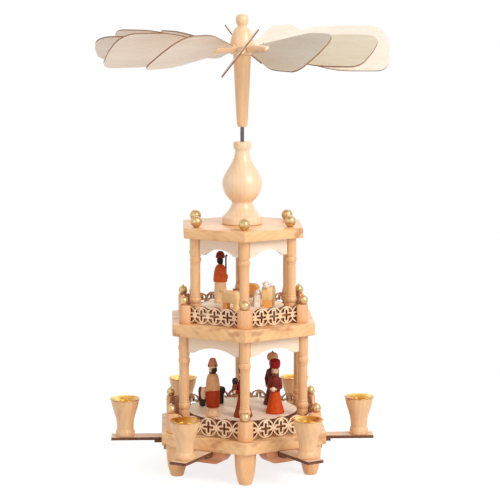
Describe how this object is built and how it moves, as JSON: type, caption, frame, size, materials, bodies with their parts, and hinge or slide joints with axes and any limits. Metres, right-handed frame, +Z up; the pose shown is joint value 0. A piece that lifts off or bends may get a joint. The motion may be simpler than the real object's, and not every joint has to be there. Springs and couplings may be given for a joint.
{
  "type": "candle carousel",
  "caption": "Tiered hexagonal wooden tower with candle arms, painted figures on turning discs and a wheel of pitched blades on a steel axle, turned by candle warmth.",
  "frame": {"origin": "on the axle's line, at the floor under the feet", "axes": "+Z up along the axle; one corner of the tower points along -Y, the front"},
  "size_m": [0.2896, 0.2896, 0.4542],
  "materials": {
    "pale_wood": "smooth sanded wood, clear coat",
    "column_wood": "turned wood, clear coat",
    "varnished_wood": "turned wood, glossy varnish",
    "ply": "thin laser-cut plywood with brown edges",
    "grey_ply": "thin greyish plywood",
    "blade_ply": "thin pale plywood with brown edges",
    "king_paint": "painted turned wood",
    "wine_paint": "painted turned wood",
    "orange_paint": "painted turned wood",
    "maroon_paint": "painted turned wood",
    "cape_paint": "painted turned wood",
    "black_paint": "painted carved wood",
    "brass": "bright",
    "steel": "dark drawn rod"
  },
  "bodies": {
    "stand": {"base_plate": "pale_wood", "foot_1": "pale_wood", "foot_2": "pale_wood", "foot_3": "pale_wood", "foot_4": "pale_wood", "foot_5": "pale_wood", "foot_6": "pale_wood", "candle_arm_1": "pale_wood", "candle_arm_2": "pale_wood", "candle_arm_3": "pale_wood", "candle_arm_4": "pale_wood", "candle_arm_5": "pale_wood", "candle_arm_6": "pale_wood", "candle_socket_1": "brass", "candle_socket_2": "brass", "candle_socket_3": "brass", "candle_socket_4": "brass", "candle_socket_5": "brass", "candle_socket_6": "brass", "lower_column_1": "column_wood", "lower_column_2": "column_wood", "lower_column_3": "column_wood", "lower_column_4": "column_wood", "lower_column_5": "column_wood", "lower_column_6": "column_wood", "upper_column_1": "column_wood", "upper_column_2": "column_wood", "upper_column_3": "column_wood", "upper_column_4": "column_wood", "upper_column_5": "column_wood", "upper_column_6": "column_wood", "middle_plate": "pale_wood", "roof_plate": "pale_wood", "onion_dome": "varnished_wood", "lower_fence": "ply", "upper_fence": "ply", "bearing_cup": "brass"},
    "rotor": {"axle": "steel", "hub_sleeve": "column_wood", "hub": "varnished_wood", "lower_disc": "grey_ply", "upper_disc": "grey_ply", "king_figure": "king_paint", "hooded_figure": "wine_paint", "red_cap_figure": "orange_paint", "turban_figure": "maroon_paint", "shepherd_figure": "cape_paint", "dark_animal": "black_paint"},
    "blade_1": {"blade_1": "blade_ply"},
    "blade_2": {"blade_2": "blade_ply"},
    "blade_3": {"blade_3": "blade_ply"},
    "blade_4": {"blade_4": "blade_ply"},
    "blade_5": {"blade_5": "blade_ply"},
    "blade_6": {"blade_6": "blade_ply"},
    "blade_7": {"blade_7": "blade_ply"},
    "blade_8": {"blade_8": "blade_ply"},
    "blade_9": {"blade_9": "blade_ply"},
    "blade_10": {"blade_10": "blade_ply"},
    "blade_11": {"blade_11": "blade_ply"},
    "blade_12": {"blade_12": "blade_ply"}
  },
  "joints": [
    {"name": "wheel_spin", "type": "hinge", "parent": "stand", "child": "rotor", "pos_m": [0, 0, 0], "axis": [0, 0, 1], "continuous": true},
    {"name": "blade_1_pitch", "type": "hinge", "parent": "rotor", "child": "blade_1", "pos_m": [0, 0, 0.4203], "axis": [-0.0523, -0.9986, 0], "range_deg": [-37, 38]},
    {"name": "blade_2_pitch", "type": "hinge", "parent": "rotor", "child": "blade_2", "pos_m": [0, 0, 0.4203], "axis": [0.454, -0.891, 0], "range_deg": [-23, 52]},
    {"name": "blade_3_pitch", "type": "hinge", "parent": "rotor", "child": "blade_3", "pos_m": [0, 0, 0.4203], "axis": [0.8387, -0.5446, 0], "range_deg": [-16, 59]},
    {"name": "blade_4_pitch", "type": "hinge", "parent": "rotor", "child": "blade_4", "pos_m": [0, 0, 0.4203], "axis": [0.9986, -0.0523, 0], "range_deg": [-36, 39]},
    {"name": "blade_5_pitch", "type": "hinge", "parent": "rotor", "child": "blade_5", "pos_m": [0, 0, 0.4203], "axis": [0.891, 0.454, 0], "range_deg": [-29, 46]},
    {"name": "blade_6_pitch", "type": "hinge", "parent": "rotor", "child": "blade_6", "pos_m": [0, 0, 0.4203], "axis": [0.5446, 0.8387, 0], "range_deg": [-31, 44]},
    {"name": "blade_7_pitch", "type": "hinge", "parent": "rotor", "child": "blade_7", "pos_m": [0, 0, 0.4203], "axis": [0.0523, 0.9986, 0], "range_deg": [-31, 44]},
    {"name": "blade_8_pitch", "type": "hinge", "parent": "rotor", "child": "blade_8", "pos_m": [0, 0, 0.4203], "axis": [-0.454, 0.891, 0], "range_deg": [-16, 59]},
    {"name": "blade_9_pitch", "type": "hinge", "parent": "rotor", "child": "blade_9", "pos_m": [0, 0, 0.4203], "axis": [-0.8387, 0.5446, 0], "range_deg": [-22, 53]},
    {"name": "blade_10_pitch", "type": "hinge", "parent": "rotor", "child": "blade_10", "pos_m": [0, 0, 0.4203], "axis": [-0.9986, 0.0523, 0], "range_deg": [-11, 64]},
    {"name": "blade_11_pitch", "type": "hinge", "parent": "rotor", "child": "blade_11", "pos_m": [0, 0, 0.4203], "axis": [-0.891, -0.454, 0], "range_deg": [-23, 52]},
    {"name": "blade_12_pitch", "type": "hinge", "parent": "rotor", "child": "blade_12", "pos_m": [0, 0, 0.4203], "axis": [-0.5446, -0.8387, 0], "range_deg": [-20, 55]}
  ]
}
